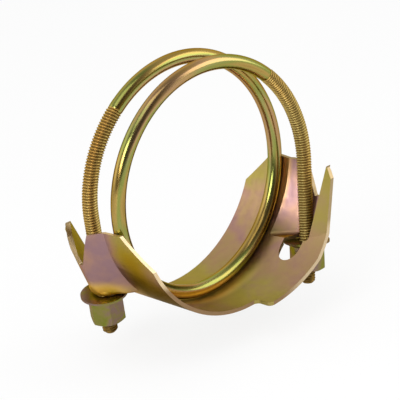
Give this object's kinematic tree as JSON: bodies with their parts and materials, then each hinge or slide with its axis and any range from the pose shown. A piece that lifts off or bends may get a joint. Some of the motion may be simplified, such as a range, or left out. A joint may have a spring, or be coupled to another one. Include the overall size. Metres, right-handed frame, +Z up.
{
  "type": "spiral hose clamp",
  "caption": "Coiled round-bar clamp for corrugated suction hose: the bar's threaded ends pass through a stamped saddle and are drawn down by flange nuts.",
  "frame": {"origin": "middle of the coil, on the hose's axis", "axes": "+Y along the hose, +Z up from the saddle towards the crown of the loops, +X across; a half turn about Z carries the clamp onto itself"},
  "size_m": [0.1416, 0.0804, 0.1361],
  "materials": {
    "bar_plating": "yellow chromated zinc, glossy on the shank and brassy on the thread",
    "saddle_plating": "yellow chromated zinc, satin, olive with mauve patches",
    "nut_plating": "yellow chromated zinc, satin, mauve with green patches"
  },
  "bodies": {
    "clamp": {"clamp_rod": "bar_plating", "saddle_plate": "saddle_plating"},
    "left_nut": {"left_flange_nut": "nut_plating"},
    "right_nut": {"right_flange_nut": "nut_plating"}
  },
  "joints": [
    {"name": "left_nut_run", "type": "slide", "parent": "clamp", "child": "left_nut", "axis": [0.1216, 0.0662, -0.9904], "range_m": [0, 0.0234]},
    {"name": "right_nut_run", "type": "slide", "parent": "clamp", "child": "right_nut", "axis": [-0.1216, -0.0662, -0.9904], "range_m": [0, 0.0234]}
  ]
}
